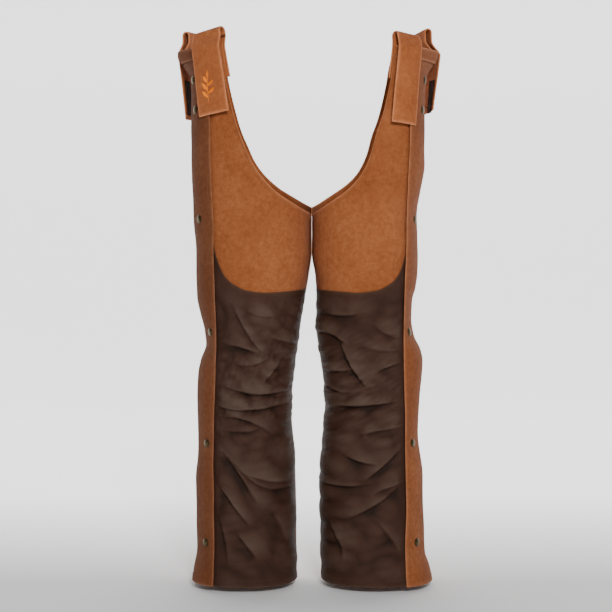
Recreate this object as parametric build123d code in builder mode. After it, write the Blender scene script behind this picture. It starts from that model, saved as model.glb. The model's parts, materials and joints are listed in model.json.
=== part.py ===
from build123d import *

import os
from math import asin, cos, degrees, radians, sin

# Upland leg chaps: a pair of snap-sided over-trouser legs, each hung from a belt by two folded straps.
#
# Millimetres, +Z up, the wearer faces -Y and the wearer's left is +X. The origin is on the plane of the hems,
# midway between the legs. Each leg is made once on the +X side, and mirrored for the other.
#
# A place on the round outer half of a leg is a bearing, in degrees from straight ahead (-Y) towards the
# outside (+X), and a distance from the leg's own upright axis.

os.makedirs("parts", exist_ok=True)

# The leg tube. Its outer half is round and upright, and its inner half follows the knee and the crotch.
LEG_X = 115.0
LEG_Y = 0.6
LEG_R = 95.0
PANEL_TOP = 962.0
INNER_HALF = [(0, 93), (140, 91), (290, 86), (420, 95), (520, 104), (640, 111.5), (720, 113), (975, 113)]

# Cloth, as distances outward from the inside of the canvas.
CANVAS = 1.6
FACING_GAP = 0.2
FACING = 1.0
FLAP_LIFT = 5.4
FLAP_CLOTH = 1.6
SLIT = 0.4

# Outlines in the front view, as points (x, z).
FRONT_NECKLINE = [(0, 667), (50, 702), (98, 760), (132, 850), (148, 962)]
BACK_NECKLINE = [(0, 677), (50, 722), (98, 782), (132, 862), (148, 962)]
FACING_TOP = [(0, 534), (60, 527), (108, 529), (140, 546), (160, 592), (182, 700)]
FACING_SIDE = 182.0

# The side opening: bearings of the two edges under the flap, and of where the flap starts to bend. Its cloth
# turns about an upright line at (204, -4), just inside the outseam, so the rigid plate stops short of that line.
FRONT_EDGE = 79.0
BACK_EDGE = 80.0
FLAP_ROOT = 78.0
FLAP_TOP = 940.0
FLAP_EDGE = [(173.5, 0), (173.5, 700), (184, FLAP_TOP)]

# Press studs, as (height, bearing).
SNAPS = [(76.0, 47.0), (255.0, 47.0), (455.0, 47.0), (658.0, 54.0), (854.0, 58.0), (908.0, 63.0)]
CAP_R, CAP_RIM, CAP_DOME = 7.6, 0.9, 1.5
POST_R, POST_LONG = 1.65, 2.2
HOLE_R = 1.75
SOCKET_R, SOCKET_DEEP, SOCKET_BORE_R, SOCKET_BORE_DEEP = 6.2, 2.5, 2.6, 2.1
STUD_BASE_R, STUD_BASE, STUD_NECK_R, STUD_NECK, STUD_BALL_R, STUD_BALL = 5.5, 0.5, 1.7, 1.3, 2.1, 0.9
RIVET_R, RIVET_HEAD, RIVET_POST = 4.6, 0.9, 1.95

# A flat snap piece on curved cloth stands a little off it at its middle.
CAP_SEAT = LEG_R + FLAP_LIFT + FLAP_CLOTH + 0.25
SOCKET_SEAT = LEG_R + FLAP_LIFT - 0.35
STUD_SEAT = LEG_R + CANVAS + 0.2
RIVET_SEAT = LEG_R - 0.25

# Belt straps: flat webs folded over the belt, as distances from the leg's axis along the strap's own bearing.
# Each strap is (bearing, how far across from there its middle is, how far its fold stands out further).
STRAP_W = 56.0
STRAP_CLOTH = 1.6
STRAP_INNER = 84.4
STRAP_OUTER = 102.2
STRAP_TOP = 1000.0
STRAP_SEWN_TO = 905.0
STRAP_FLAP_END = 848.0
STRAP_BENDS = (960.0, 988.0)
FRONT_STRAP = (34.0, 4.0, 0.0)
REAR_STRAP = (110.0, 0.0, 14.0)

# Hook-and-loop fields that close a strap, across the strap from its middle and up from the hem.
HOOK_FROM, HOOK_TO = -26.0, -4.0
HOOK_LOW, HOOK_HIGH = 856.0, 916.0
HOOK_THICK, LOOP_THICK = 1.9, 2.4
LOOP_BELOW, LOOP_ABOVE = 6.0, 8.0

# The embroidered sprig on one strap.
SPRIG_LOW, SPRIG_HIGH = 873.0, 924.0
SPRIG_LEAF = (2.1, 6.6)
SPRIG_RAISE = 0.6
SPRIG_ROWS, SPRIG_PITCH, FIRST_LEAF, LEAF_OUT, LEAF_LEAN = 4, 9.0, 12.0, 6.5, 42.0
SPRIG_STEM = 1.6

TOUCH = 0.1  # between two layers that are sewn together
REACH = 400.0  # longer than any section of the leg is wide or deep


def bearing_vector(bearing):
    return Vector(sin(radians(bearing)), -cos(radians(bearing)), 0)


def on_leg(bearing, distance, height=0.0):
    """The point at that bearing and distance from the leg's axis."""
    return Vector(LEG_X, LEG_Y, height) + bearing_vector(bearing) * distance


def outward(bearing, distance, height):
    """A plane at that point whose normal points straight out from the leg's axis."""
    return Plane(on_leg(bearing, distance, height), x_dir=(0, 0, 1), z_dir=bearing_vector(bearing))


def leg_body(grow):
    """The solid leg form, its surface grown outward by that much from the inside of the canvas."""
    with BuildPart() as form:
        for height, half_width in INNER_HALF:
            with BuildSketch(Plane.XY.offset(height)):
                with BuildLine():
                    CenterArc((LEG_X, LEG_Y), LEG_R + grow, -90, 180)
                    EllipticalCenterArc((LEG_X, LEG_Y), half_width + grow, LEG_R + grow, 90, arc_size=180)
                make_face()
        loft()
    return form.part


def leg_skin(inside, outside):
    """A layer of cloth round the whole leg, between two distances from the inside of the canvas."""
    with BuildPart() as skin:
        add(leg_body(outside))
        add(leg_body(inside), mode=Mode.SUBTRACT)
    return skin.part


def below_line(points, y_from, y_to):
    """Everything under a curve of the front view, between two depths."""
    with BuildPart() as block:
        with BuildSketch(Plane.XZ.offset(-y_to)):
            with BuildLine():
                top = Spline(*points)
                Polyline(top @ 1, (REACH, points[-1][1]), (REACH, 0), (0, 0), top @ 0)
            make_face()
        extrude(amount=y_to - y_from)
    return block.part


def wedge(from_bearing, to_bearing, low, high, radius=REACH):
    """The slice of space round the leg's axis between two bearings."""
    with BuildPart() as slice_:
        with BuildSketch(Plane.XY.offset(low)):
            with BuildLine():
                a = on_leg(from_bearing, radius)
                b = on_leg((from_bearing + to_bearing) / 2, radius)
                c = on_leg(to_bearing, radius)
                Polyline((LEG_X, LEG_Y), (a.X, a.Y))
                ThreePointArc((a.X, a.Y), (b.X, b.Y), (c.X, c.Y))
                Line((c.X, c.Y), (LEG_X, LEG_Y))
            make_face()
        extrude(amount=high - low)
    return slice_.part


def ring(from_bearing, to_bearing, inner, outer, low, high):
    """A curved plate round the leg's axis."""
    with BuildPart() as plate:
        with Locations((LEG_X, LEG_Y, low)):
            Cylinder(outer, high - low, align=(Align.CENTER, Align.CENTER, Align.MIN))
            Cylinder(inner, high - low, align=(Align.CENTER, Align.CENTER, Align.MIN), mode=Mode.SUBTRACT)
        add(wedge(from_bearing, to_bearing, low, high), mode=Mode.INTERSECT)
    return plate.part


def front_panel():
    """Canvas from the inseam to the edge that carries the studs, with a rivet hole under each stud."""
    with BuildPart() as panel:
        add(leg_skin(0, CANVAS))
        add(below_line(FRONT_NECKLINE, LEG_Y - REACH, LEG_Y - SLIT / 2), mode=Mode.INTERSECT)
        add(wedge(FRONT_EDGE, 91, 0, PANEL_TOP), mode=Mode.SUBTRACT)
        for height, bearing in SNAPS:
            with BuildSketch(outward(bearing, LEG_R + CANVAS / 2, height)):
                Circle(HOLE_R)
            extrude(amount=CANVAS, both=True, mode=Mode.SUBTRACT)
    return panel.part


def back_panel():
    """Canvas from the inseam round the back to the side opening."""
    with BuildPart() as panel:
        add(leg_skin(0, CANVAS))
        add(below_line(BACK_NECKLINE, LEG_Y + SLIT / 2, LEG_Y + REACH), mode=Mode.INTERSECT)
        add(ring(BACK_EDGE, 92, LEG_R, LEG_R + CANVAS, 0, PANEL_TOP))
    return panel.part


def front_facing():
    """Coated nylon over the lower front, up to a curve across the thigh."""
    with BuildPart() as facing:
        add(leg_skin(CANVAS + FACING_GAP, CANVAS + FACING_GAP + FACING))
        add(below_line(FACING_TOP, LEG_Y - REACH, LEG_Y - SLIT / 2), mode=Mode.INTERSECT)
        with BuildSketch(Plane.XY):
            with Locations((FACING_SIDE, LEG_Y - REACH)):
                Rectangle(REACH, REACH * 2, align=(Align.MIN, Align.MIN))
        extrude(amount=PANEL_TOP, mode=Mode.SUBTRACT)
    return facing.part


def side_flap():
    """The canvas flap that closes the side, hung at its rear edge, with a post hole for each cap."""
    inner = LEG_R + FLAP_LIFT
    with BuildPart() as flap:
        add(ring(0, FLAP_ROOT, inner, inner + FLAP_CLOTH, 0, FLAP_TOP))
        with BuildSketch(Plane.XZ.offset(-LEG_Y)):
            with BuildLine():
                Polyline(*FLAP_EDGE, (REACH, FLAP_TOP), (REACH, 0), FLAP_EDGE[0])
            make_face()
        extrude(amount=REACH, mode=Mode.INTERSECT)
        for height, bearing in SNAPS:
            with BuildSketch(outward(bearing, inner + FLAP_CLOTH / 2, height)):
                Circle(HOLE_R)
            extrude(amount=FLAP_CLOTH, both=True, mode=Mode.SUBTRACT)
    return flap.part


def at_each_snap(make):
    """One group of separate solids, one at each press stud."""
    return Compound(children=[make(height, bearing) for height, bearing in SNAPS])


def snap_cap(height, bearing):
    """A domed cap on the flap, with its post down through the cloth into the socket."""
    with BuildPart() as cap:
        with BuildSketch(outward(bearing, CAP_SEAT, height)):
            Circle(CAP_R)
        extrude(amount=CAP_RIM)
        for rise, spread in ((0, 1), (0.6, 0.8), (1, 0.35)):
            with BuildSketch(outward(bearing, CAP_SEAT + CAP_RIM + CAP_DOME * rise, height)):
                Circle(CAP_R * spread)
        loft()
        with BuildSketch(outward(bearing, CAP_SEAT, height)):
            Circle(POST_R)
        extrude(amount=-POST_LONG)
    return cap.part


def snap_socket(height, bearing):
    """The spring socket under the flap, open towards the leg."""
    with BuildPart() as socket:
        with BuildSketch(outward(bearing, SOCKET_SEAT, height)):
            Circle(SOCKET_R)
        extrude(amount=-SOCKET_DEEP)
        with BuildSketch(outward(bearing, SOCKET_SEAT - SOCKET_DEEP, height)):
            Circle(SOCKET_BORE_R)
        extrude(amount=SOCKET_BORE_DEEP, mode=Mode.SUBTRACT)
    return socket.part


def snap_stud(height, bearing):
    """The stud on the front panel: a base, a neck and a ball that stands in the socket."""
    with BuildPart() as stud:
        with BuildSketch(outward(bearing, STUD_SEAT, height)):
            Circle(STUD_BASE_R)
        extrude(amount=STUD_BASE)
        with BuildSketch(outward(bearing, STUD_SEAT, height)):
            Circle(STUD_NECK_R)
        extrude(amount=STUD_NECK)
        with BuildSketch(outward(bearing, STUD_SEAT + STUD_NECK, height)):
            Circle(STUD_BALL_R)
        extrude(amount=STUD_BALL)
    return stud.part


def stud_rivet(height, bearing):
    """The rivet that holds a stud from inside the leg."""
    with BuildPart() as rivet:
        with BuildSketch(outward(bearing, RIVET_SEAT, height)):
            Circle(RIVET_R)
        extrude(amount=-RIVET_HEAD)
        with BuildSketch(outward(bearing, RIVET_SEAT, height)):
            Circle(POST_R)
        extrude(amount=RIVET_POST)
    return rivet.part


def strap_along(strap):
    """The level direction across a strap's width, which is the way the belt runs."""
    bearing = radians(strap[0])
    return Vector(cos(bearing), sin(bearing), 0)


def strap_plane(strap):
    """The cross-section of a strap: its x is outward along the strap's bearing and its y is up."""
    bearing, across, _ = strap
    along = strap_along(strap)
    return Plane(Vector(LEG_X, LEG_Y, 0) + along * across, x_dir=bearing_vector(bearing), z_dir=-along)


FOLD_R = (STRAP_OUTER + STRAP_CLOTH - STRAP_INNER) / 2
FOLD_Z = STRAP_TOP - FOLD_R
FOLD_PART = 1.0  # degrees from the top of the fold to where each half of the strap ends


def sewn_strap(strap):
    """The inner half of a strap: sewn inside the leg's top, up to the top of the fold."""
    stands_out = strap[2]
    fold = (STRAP_INNER + FOLD_R + stands_out, FOLD_Z)
    low_bend, high_bend = STRAP_BENDS
    with BuildPart() as web:
        with BuildSketch(strap_plane(strap)):
            with BuildLine():
                outer = CenterArc(fold, FOLD_R, 90 + FOLD_PART, 90 - FOLD_PART)
                inner = CenterArc(fold, FOLD_R - STRAP_CLOTH, 90 + FOLD_PART, 90 - FOLD_PART)
                Line(outer @ 0, inner @ 0)
                Polyline(
                    outer @ 1,
                    (STRAP_INNER + stands_out, high_bend),
                    (STRAP_INNER, low_bend),
                    (STRAP_INNER, STRAP_SEWN_TO),
                    (STRAP_INNER + STRAP_CLOTH, STRAP_SEWN_TO),
                    (STRAP_INNER + STRAP_CLOTH, low_bend),
                    (STRAP_INNER + STRAP_CLOTH + stands_out, high_bend),
                    inner @ 1,
                )
            make_face()
        extrude(amount=STRAP_W / 2, both=True)
    return web.part


def strap_flap(strap):
    """The outer half of a strap: from the top of the fold down to its free end."""
    web_inside = STRAP_OUTER + strap[2]
    fold = (STRAP_INNER + FOLD_R + strap[2], FOLD_Z)
    with BuildPart() as web:
        with BuildSketch(strap_plane(strap)):
            with BuildLine():
                outer = CenterArc(fold, FOLD_R, 0, 90 - FOLD_PART)
                inner = CenterArc(fold, FOLD_R - STRAP_CLOTH, 0, 90 - FOLD_PART)
                Line(outer @ 1, inner @ 1)
                Polyline(
                    outer @ 0,
                    (web_inside + STRAP_CLOTH, STRAP_FLAP_END),
                    (web_inside, STRAP_FLAP_END),
                    inner @ 0,
                )
            make_face()
        extrude(amount=STRAP_W / 2, both=True)
    return web.part


def hook_field(strap):
    """The hook tape on the inside of a strap's free end. The section plane's normal runs against the strap's
    own across direction, so the tape starts at minus its nearer edge."""
    section = strap_plane(strap)
    with BuildPart() as tape:
        with BuildSketch(section.offset(-HOOK_TO)):
            with Locations((STRAP_OUTER + strap[2] - TOUCH, HOOK_LOW)):
                Rectangle(HOOK_THICK, HOOK_HIGH - HOOK_LOW, align=(Align.MAX, Align.MIN))
        extrude(amount=HOOK_TO - HOOK_FROM)
    return tape.part


def loop_field(strap):
    """The loop tape on the leg, where the strap's hook tape lands."""
    bearing, across, _ = strap
    seat = LEG_R + CANVAS + TOUCH
    low, high = (bearing + degrees(asin((across + edge) / seat)) for edge in (HOOK_FROM, HOOK_TO))
    return ring(low, high, seat, seat + LOOP_THICK, HOOK_LOW - LOOP_BELOW, HOOK_HIGH + LOOP_ABOVE)


def sprig(strap):
    """A raised embroidered sprig: a stem with paired leaves and one at its tip."""
    bearing, across, _ = strap
    along = strap_along(strap)
    centre = on_leg(bearing, STRAP_OUTER + STRAP_CLOTH + TOUCH, (SPRIG_LOW + SPRIG_HIGH) / 2)
    plane = Plane(centre + along * across, x_dir=along, z_dir=bearing_vector(bearing))
    half = (SPRIG_HIGH - SPRIG_LOW) / 2
    leaf_half, leaf_long = SPRIG_LEAF
    foot = -half
    with BuildPart() as stem:
        with BuildSketch(plane):
            with Locations((0, foot + half * 0.8)):
                SlotOverall(half * 1.6, SPRIG_STEM, rotation=90)
        extrude(amount=SPRIG_RAISE)
    shapes = [stem.part]
    for row in range(SPRIG_ROWS):
        for side in (-1, 1):
            with BuildPart() as leaf:
                with BuildSketch(plane):
                    with Locations((side * LEAF_OUT, foot + FIRST_LEAF + row * SPRIG_PITCH)):
                        Ellipse(leaf_long, leaf_half, rotation=side * LEAF_LEAN)
                extrude(amount=SPRIG_RAISE)
            shapes.append(leaf.part)
    with BuildPart() as tip:
        with BuildSketch(plane):
            with Locations((0, half - leaf_long)):
                Ellipse(leaf_long, leaf_half, rotation=90)
        extrude(amount=SPRIG_RAISE)
    return Compound(children=shapes + [tip.part])


def save(shape, name):
    """Label a finished piece and write it to its own file."""
    shape.label = name
    export_step(shape, f"parts/{name}.step")


def leg_pieces():
    """Every piece of the leg on the +X side, by name."""
    pieces = {
        "front_panel": front_panel(),
        "back_panel": back_panel(),
        "front_facing": front_facing(),
        "side_flap": side_flap(),
        "snap_caps": at_each_snap(snap_cap),
        "snap_sockets": at_each_snap(snap_socket),
        "snap_studs": at_each_snap(snap_stud),
        "stud_rivets": at_each_snap(stud_rivet),
    }
    for where, strap in (("front", FRONT_STRAP), ("rear", REAR_STRAP)):
        pieces[f"{where}_sewn_strap"] = sewn_strap(strap)
        pieces[f"{where}_strap_flap"] = strap_flap(strap)
        pieces[f"{where}_hook_tape"] = hook_field(strap)
        pieces[f"{where}_loop_tape"] = loop_field(strap)
    return pieces


pieces = leg_pieces()
for name, shape in pieces.items():
    save(shape, f"left_{name}")
    save(mirror(shape, about=Plane.YZ), f"right_{name}")
save(mirror(sprig(FRONT_STRAP), about=Plane.YZ), "right_embroidered_sprig")
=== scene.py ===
import json
import math

import bpy
import numpy as np
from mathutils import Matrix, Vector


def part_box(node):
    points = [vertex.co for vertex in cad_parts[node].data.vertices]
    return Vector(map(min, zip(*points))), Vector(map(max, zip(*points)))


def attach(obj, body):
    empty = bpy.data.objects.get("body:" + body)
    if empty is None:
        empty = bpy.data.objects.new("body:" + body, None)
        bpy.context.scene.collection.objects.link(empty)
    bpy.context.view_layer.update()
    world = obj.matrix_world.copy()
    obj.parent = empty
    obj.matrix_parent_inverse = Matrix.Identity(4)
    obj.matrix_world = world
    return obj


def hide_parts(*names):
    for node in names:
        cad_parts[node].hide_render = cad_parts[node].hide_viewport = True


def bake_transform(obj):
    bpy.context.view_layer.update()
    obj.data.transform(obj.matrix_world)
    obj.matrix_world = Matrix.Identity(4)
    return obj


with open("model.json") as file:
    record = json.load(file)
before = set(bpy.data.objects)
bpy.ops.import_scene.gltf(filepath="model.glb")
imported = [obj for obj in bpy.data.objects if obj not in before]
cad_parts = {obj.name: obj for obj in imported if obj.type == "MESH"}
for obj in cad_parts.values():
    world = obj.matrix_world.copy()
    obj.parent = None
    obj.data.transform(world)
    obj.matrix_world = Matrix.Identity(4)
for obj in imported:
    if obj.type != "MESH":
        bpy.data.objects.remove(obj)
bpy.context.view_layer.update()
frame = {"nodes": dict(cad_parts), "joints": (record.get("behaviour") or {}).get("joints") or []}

# Upland leg chaps: two canvas legs with nylon-faced fronts, snapped side flaps and folded belt straps.
#
# Lengths are millimetres until a mesh is made. Each leg is worked out as if it were the wearer's left, on +X,
# and mirrored for the right. A place on a leg is a bearing, in degrees from straight ahead (-Y) towards the
# outside, and a height. Cloth layers are offsets from one surface, the inside of the canvas.

MM = 0.001
SIDES = {"left": 1, "right": -1}
JOINTS = {joint["name"]: joint for joint in frame["joints"]}


# ---------------------------------------------------------------- the leg, from the frame

def in_mm(corner):
    return np.array(corner) / MM


front_low, front_high = (in_mm(c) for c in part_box("left_front_panel"))
back_high = in_mm(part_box("left_back_panel")[1])
CANVAS = 1.6
LEG_Y = (front_low[1] + back_high[1]) / 2
DEPTH = (back_high[1] - front_low[1]) / 2 - CANVAS
LEG_X = back_high[0] - CANVAS - DEPTH
PANEL_TOP = front_high[2]
FLAP_TOP = in_mm(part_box("left_side_flap")[1])[2]


def snap_places():
    """(height, bearing) of each press stud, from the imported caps."""
    points = np.array([v.co[:] for v in frame["nodes"]["left_snap_caps"].data.vertices]) / MM
    points = points[np.argsort(points[:, 2])]
    groups = np.split(points, np.flatnonzero(np.diff(points[:, 2]) > 20) + 1)
    places = []
    for group in groups:
        x, y, z = (group.max(axis=0) + group.min(axis=0)) / 2
        places.append((z, math.degrees(math.atan2(x - LEG_X, LEG_Y - y))))
    return places


SNAPS = snap_places()


def smooth_curve(points):
    """A function through the points that never overshoots them (a monotone cubic)."""
    x, y = (np.array(v, float) for v in zip(*points))
    step = np.diff(x)
    slope = np.diff(y) / step
    tangent = np.zeros_like(x)
    tangent[0], tangent[-1] = slope[0], slope[-1]
    same = slope[:-1] * slope[1:] > 0
    w1, w2 = 2 * step[1:] + step[:-1], step[1:] + 2 * step[:-1]
    with np.errstate(divide="ignore", invalid="ignore"):
        mean = (w1 + w2) / (w1 / slope[:-1] + w2 / slope[1:])
    tangent[1:-1] = np.where(same, mean, 0)

    def at(v):
        v = np.clip(np.asarray(v, float), x[0], x[-1])
        i = np.clip(np.searchsorted(x, v, side="right") - 1, 0, len(x) - 2)
        t = (v - x[i]) / step[i]
        ta, tb = tangent[i] * step[i], tangent[i + 1] * step[i]
        leaving = (2 * t**3 - 3 * t**2 + 1) * y[i] + (t**3 - 2 * t**2 + t) * ta
        return leaving + (3 * t**2 - 2 * t**3) * y[i + 1] + (t**3 - t**2) * tb

    return at


def rise(v, low, high):
    """0 below low, 1 above high, smooth between."""
    t = np.clip((np.asarray(v, float) - low) / (high - low), 0, 1)
    return t * t * (3 - 2 * t)


def bump(v, middle, half):
    """A smooth hill of height 1, half as wide as half each way."""
    return np.exp(-((np.asarray(v, float) - middle) / half) ** 2)


# Outlines in the front view, as (height, distance from the middle of the pair).
OUTER = {
    "right": smooth_curve([(0, 217), (26, 214), (60, 209), (180, 211), (250, 207), (330, 209), (379, 207),
                           (403, 202), (432, 192), (455, 194), (489, 203), (520, 209), (600, 211), (666, 215),
                           (843, 219), (962, 219)]),
    "left": smooth_curve([(0, 220), (26, 216), (52, 208), (136, 205), (202, 202), (265, 194), (335, 198),
                          (400, 203), (420, 199), (450, 185), (480, 181), (512, 183), (534, 189), (600, 194),
                          (666, 191), (710, 198), (760, 206), (843, 206), (962, 210)]),
}
INNER = {
    "right": smooth_curve([(0, 27), (136, 28), (247, 32), (300, 36), (357, 35), (403, 29), (450, 22),
                           (512, 12), (560, 5), (600, 0.6), (962, 0.6)]),
    "left": smooth_curve([(0, 19), (70, 16), (180, 16), (269, 21), (325, 25), (379, 21), (423, 14),
                          (467, 8.5), (512, 9.5), (556, 7), (600, 0.6), (962, 0.6)]),
}
DEPTH_AT = smooth_curve([(0, DEPTH), (150, DEPTH - 4), (290, DEPTH - 7), (400, DEPTH - 8), (560, DEPTH - 2),
                         (962, DEPTH)])
# How far each leg's top edge stands out at the side.
EAR = {"right": 25.0, "left": 22.0}

# The usual distance of the cloth from a leg's axis, to turn bearings into lengths round the leg.
ROUND = 95.0
# How far each layer's outside stands off the inside of the canvas.
NYLON_OUT = 3.1
FLAP_OUT = 7.0
FLAP_SIDE_OUT = 5.2
FLAP_ROOT_OUT = 3.6
# How much further in the canvas lies where the nylon covers it.
SUNK = 5.0


def section(side, bearing, height):
    """Distance from the leg's axis to the inside of the canvas."""
    phi = np.radians(bearing)
    across, ahead = np.abs(np.sin(phi)), np.abs(np.cos(phi))
    outer = OUTER[side](height) - LEG_X - FLAP_SIDE_OUT
    inner = LEG_X - INNER[side](height) - NYLON_OUT
    outside = np.sin(phi) > 0
    half_width = np.where(outside, outer, inner)
    power = np.where(outside, 2.5, 2.15)
    r = ((across / half_width) ** power + (ahead / DEPTH_AT(height)) ** power) ** (-1 / power)
    return r + EAR[side] * rise(height, 895, PANEL_TOP) ** 1.5 * bump(bearing, 93, 24)


def ripple(x, y, seed, octaves=2):
    """Smooth repeatable noise between about -1 and 1, from a few sines whose directions turn."""
    total = np.zeros(np.broadcast(x, y).shape)
    rng = np.random.default_rng(seed)
    for octave in range(octaves):
        for _ in range(4):
            turn, phase = rng.uniform(0, math.pi), rng.uniform(0, 6.28)
            pitch = rng.uniform(0.75, 1.3) * 2**octave
            total += np.sin((x * math.cos(turn) + y * math.sin(turn)) * pitch + phase) / 2**octave
    return total / 3.2


# ---------------------------------------------------------------- folds in the cloth

# Each fold is a line in the front view, then its depth and its half-width. The line is three points: an end,
# the middle and the other end, each as a distance across and a height.
NYLON_FOLDS = {
    "right": [
        (139, 508, 112, 452, 86, 418, 4.5, 7), (152, 437, 118, 428, 88, 417, 6.0, 8),
        (74, 449, 52, 440, 34, 436, 4.5, 7), (128, 397, 104, 399, 82, 408, 3.5, 5),
        (88, 367, 74, 384, 56, 407, 4.0, 6), (144, 357, 96, 347, 46, 352, 7.0, 7),
        (168, 327, 113, 319, 48, 329, 6.5, 7), (161, 306, 117, 300, 66, 271, 5.0, 6),
        (160, 283, 120, 279, 94, 286, 3.5, 5), (154, 243, 124, 197, 97, 152, 5.5, 8),
        (142, 233, 90, 182, 38, 180, 4.5, 8), (113, 203, 76, 190, 38, 187, 4.5, 6),
        (162, 182, 136, 146, 108, 108, 5.0, 8), (133, 99, 114, 75, 97, 50, 4.5, 8),
        (70, 140, 54, 104, 42, 70, 3.0, 8), (166, 130, 154, 90, 146, 40, 3.0, 7),
        (120, 500, 90, 486, 60, 488, 2.5, 8),
    ],
    "left": [
        (30, 490, 56, 487, 84, 490, 5.0, 7), (17, 458, 40, 452, 64, 436, 5.0, 7),
        (54, 440, 74, 396, 100, 359, 6.5, 7), (22, 391, 48, 387, 73, 391, 5.5, 7),
        (24, 365, 48, 352, 70, 349, 5.0, 6), (108, 382, 136, 396, 168, 404, 4.5, 6),
        (42, 325, 94, 326, 150, 334, 7.0, 7), (94, 272, 114, 280, 168, 288, 5.0, 6),
        (60, 237, 88, 226, 119, 222, 5.5, 7), (92, 190, 124, 216, 156, 247, 5.5, 7),
        (18, 185, 56, 181, 95, 184, 5.5, 6), (107, 165, 132, 178, 161, 186, 4.0, 6),
        (60, 121, 108, 146, 156, 182, 5.0, 8), (30, 120, 52, 84, 60, 44, 3.5, 8),
        (118, 120, 142, 88, 160, 60, 3.5, 8), (110, 470, 138, 452, 166, 448, 3.5, 7),
        (100, 430, 132, 424, 166, 428, 3.0, 7),
    ],
}
CANVAS_FOLDS = {
    "right": [
        (168, 614, 120, 611, 74, 614, 1.2, 4), (150, 700, 120, 660, 96, 600, 1.6, 9),
        (90, 660, 60, 636, 30, 630, 1.6, 8), (160, 800, 140, 750, 128, 690, 1.4, 9),
        (60, 585, 90, 560, 110, 556, 1.2, 7),
    ],
    "left": [
        (74, 613, 120, 611, 168, 614, 1.2, 4), (98, 732, 120, 702, 145, 668, 2.2, 8),
        (102, 578, 130, 572, 160, 568, 2.0, 6), (30, 640, 62, 632, 90, 600, 1.6, 8),
        (150, 810, 150, 760, 158, 700, 1.4, 9),
    ],
}
FOLD_STEPS = 14
# Height of the middle of the crumples at the knee.
KNEE = 365


def fold_line(points):
    """Points along the quadratic curve through a fold's two ends and its middle."""
    a, m, b = np.array(points, float).reshape(3, 2)
    handle = 2 * m - (a + b) / 2
    t = np.linspace(0, 1, FOLD_STEPS)[:, None]
    return (1 - t) ** 2 * a + 2 * t * (1 - t) * handle + t**2 * b


def folded(folds, x, z, crisp=True):
    """Height of the cloth at (x, z). A crisp fold rises slowly to its brow, then drops steeply below it."""
    total = np.zeros(np.broadcast(x, z).shape)
    for *points, depth, half in folds:
        line = fold_line(points)
        best = np.full(total.shape, 1e9)
        along = np.zeros(total.shape)
        above = np.zeros(total.shape)
        for i, (a, b) in enumerate(zip(line[:-1], line[1:])):
            run = b - a
            t = np.clip(((x - a[0]) * run[0] + (z - a[1]) * run[1]) / (run @ run), 0, 1)
            dx, dz = x - a[0] - t * run[0], z - a[1] - t * run[1]
            d = np.hypot(dx, dz)
            closer = d < best
            best = np.where(closer, d, best)
            along = np.where(closer, (i + t) / (FOLD_STEPS - 1), along)
            above = np.where(closer, dz, above)
        fade = np.sin(np.pi * np.clip(along, 0.03, 0.97)) ** 0.7
        brow = np.exp(-best / (half * 2.0))
        drop = 1 - 1.8 * rise(best, 0, half * 0.6)
        under = drop * np.exp(-np.maximum(best - half * 0.6, 0) / (half * 1.4))
        total += depth * fade * (np.where(above > 0, brow, under) if crisp else bump(best, 0, half * 1.5))
    return total


def nylon_folds(side, bearing, height, r):
    """Folds of the faced front, on the front of the leg only, faded out under the side flap."""
    x = LEG_X + r * np.sin(np.radians(bearing))
    folds = folded(NYLON_FOLDS[side], x, height)

    def facets(depth, wide, tall, seed):
        return depth * np.abs(ripple(x / wide, height / tall, seed + SIDES[side], 1))

    crumple = facets(4.6, 17, 13, 5) + facets(3.4, 8, 5.5, 25) * (0.45 + 0.55 * bump(height, KNEE, 110)) - 2.0
    crumple = crumple + facets(1.6, 3.6, 2.6, 45) * bump(height, KNEE, 120)
    where = 1 - rise(height, 490, 545)
    front = 1 - rise(np.abs(bearing + 8), 60, 98)
    under_flap = rise(flap_front(side, height) + 3 - x, 0, 22)
    calm = 1 - 0.6 * bump(height, 0, 22)
    return (folds + crumple) * where * front * under_flap * calm


def canvas_folds(side, bearing, height, r):
    """Soft creases and unevenness of the canvas, all over."""
    x = LEG_X + r * np.sin(np.radians(bearing))
    front = np.cos(np.radians(bearing)) > 0
    folds = np.where(front, folded(CANVAS_FOLDS[side], x, height, crisp=False), 0)
    around = np.radians(bearing) * ROUND
    slack = ripple(around / 42, height / 75, 21 + SIDES[side]) + 0.45 * ripple(around / 15, height / 24, 33)
    behind = 1 - rise(np.cos(np.radians(bearing)), -0.35, 0.1)
    knee = behind * bump(height, 425, 120) * 2.6 * ripple(around / 60, height / 11, 41 + SIDES[side])
    edge = 1 - 0.5 * bump(height, 0, 25)
    return (folds + slack + knee) * edge


FLAP_FRONT_X = smooth_curve([(0, 176.5), (70, 174.5), (160, 176), (250, 175), (330, 173.5), (440, 171.5),
                             (510, 172.5), (622, 174.5), (714, 178), (846, 182), (FLAP_TOP, 186)])
# How much nearer the middle of the pair each flap's front edge is.
FLAP_WIDER = {"right": 0.0, "left": 6.5}


def flap_front(side, height):
    """Distance of the side flap's front edge from the middle of the pair."""
    return FLAP_FRONT_X(height) - FLAP_WIDER[side]


def leg_surface(side, bearing, height, offset):
    """A point of the leg's cloth, with its folds, at that offset from the inside of the canvas."""
    r = section(side, bearing, height)
    r = r + canvas_folds(side, bearing, height, r) + nylon_folds(side, bearing, height, r) + offset
    return place(bearing, height, r)


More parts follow.
